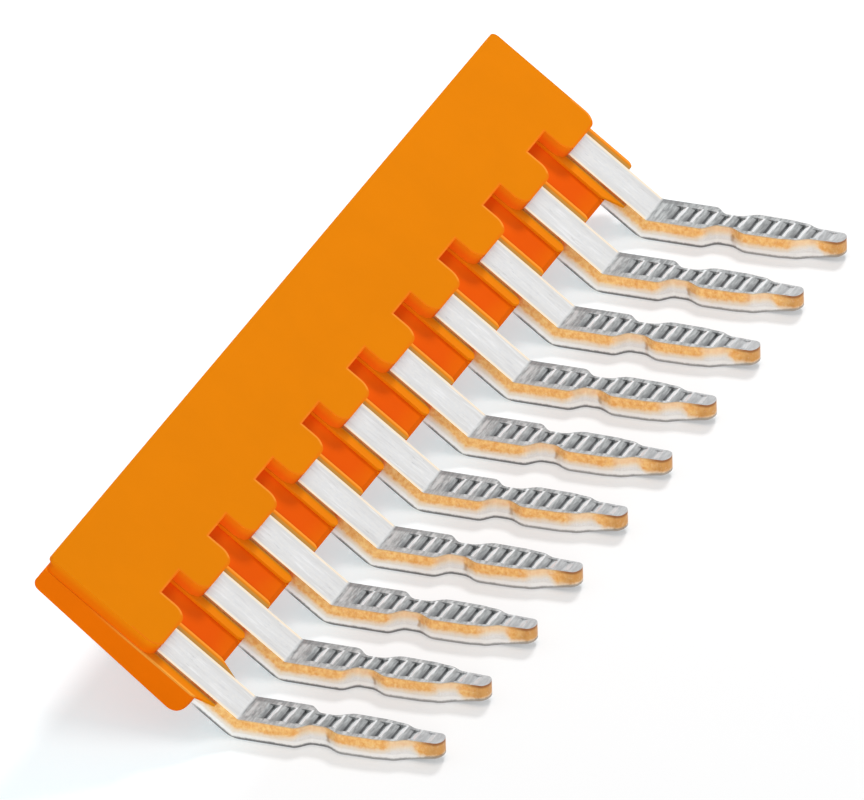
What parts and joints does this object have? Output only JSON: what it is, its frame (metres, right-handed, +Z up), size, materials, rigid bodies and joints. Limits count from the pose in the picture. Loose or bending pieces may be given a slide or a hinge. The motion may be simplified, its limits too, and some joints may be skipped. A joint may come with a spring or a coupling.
{
  "type": "terminal block jumper bar",
  "caption": "Comb jumper bar for rail-mounted terminal blocks: tinned copper prongs with grip grooves, bent up from a flat orange insulating housing.",
  "frame": {"origin": "centre of the bounding box at its base, on the plane of the undersides of the level prong ends", "axes": "+X along the row of prongs, -Y the way the prong tips point, +Z up from the undersides of the level prong ends"},
  "size_m": [0.0772, 0.0264, 0.0113],
  "materials": {
    "tinned_copper": "satin",
    "orange_base": "satin",
    "orange_cover": "satin"
  },
  "bodies": {
    "root": {"comb": "tinned_copper", "base": "orange_base", "cover": "orange_cover"}
  },
  "joints": []
}
